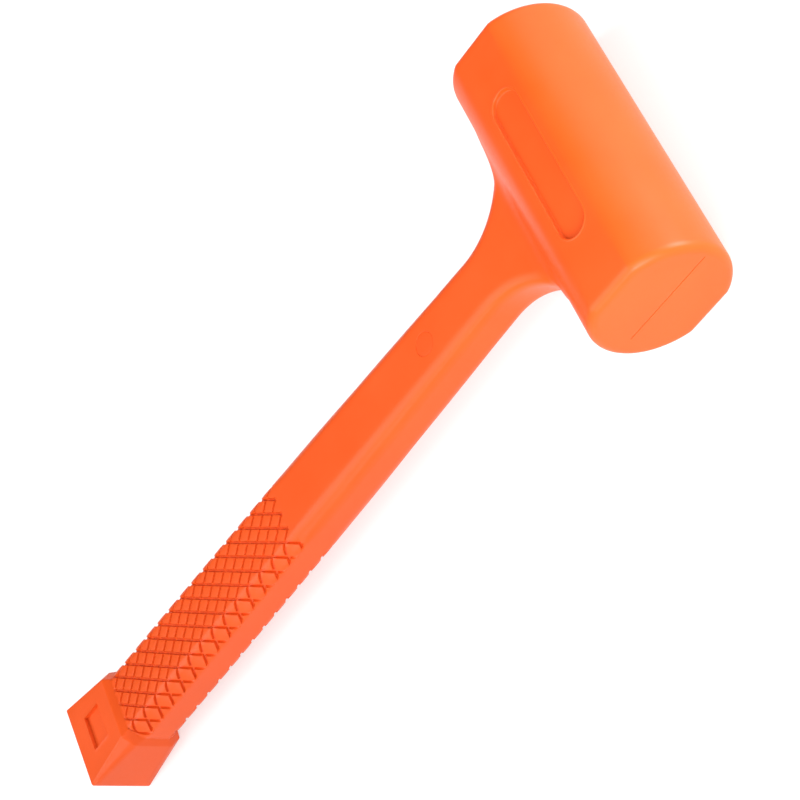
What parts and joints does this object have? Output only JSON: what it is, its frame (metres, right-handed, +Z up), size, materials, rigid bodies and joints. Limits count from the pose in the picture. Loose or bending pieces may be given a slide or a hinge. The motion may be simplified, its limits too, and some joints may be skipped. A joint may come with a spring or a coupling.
{
  "type": "dead blow mallet",
  "caption": "Soft-faced dead blow mallet: a steel canister of sliding steel shot and a tubular handle core inside a one-piece orange polyurethane jacket.",
  "frame": {"origin": "centre of the bottom of the bounding box, with the mallet lying on the side flat of its head", "axes": "X along the head from face to face, +Y along the handle towards the head, +Z up, the normal of the head's upper side flat"},
  "size_m": [0.1194, 0.3628, 0.048],
  "materials": {
    "orange_polyurethane": "satin moulded polyurethane",
    "drawn_steel": "drawn tube, as rolled",
    "zinc_plated_steel": "zinc plated",
    "steel_shot": "bare steel balls",
    "black_nylon": "moulded nylon"
  },
  "bodies": {
    "mallet": {"jacket": "orange_polyurethane", "locating_plug_front": "orange_polyurethane", "locating_plug_rear": "orange_polyurethane", "canister_tube": "drawn_steel", "canister_cap_right": "zinc_plated_steel", "canister_cap_left": "zinc_plated_steel", "fill_plug": "drawn_steel", "core_socket": "zinc_plated_steel", "handle_core": "drawn_steel", "core_end_cap": "black_nylon"},
    "shot": {"shot_charge": "steel_shot"}
  },
  "joints": [
    {"name": "shot_slide", "type": "slide", "parent": "mallet", "child": "shot", "axis": [1, 0, 0], "range_m": [-0.0285, 0]}
  ]
}
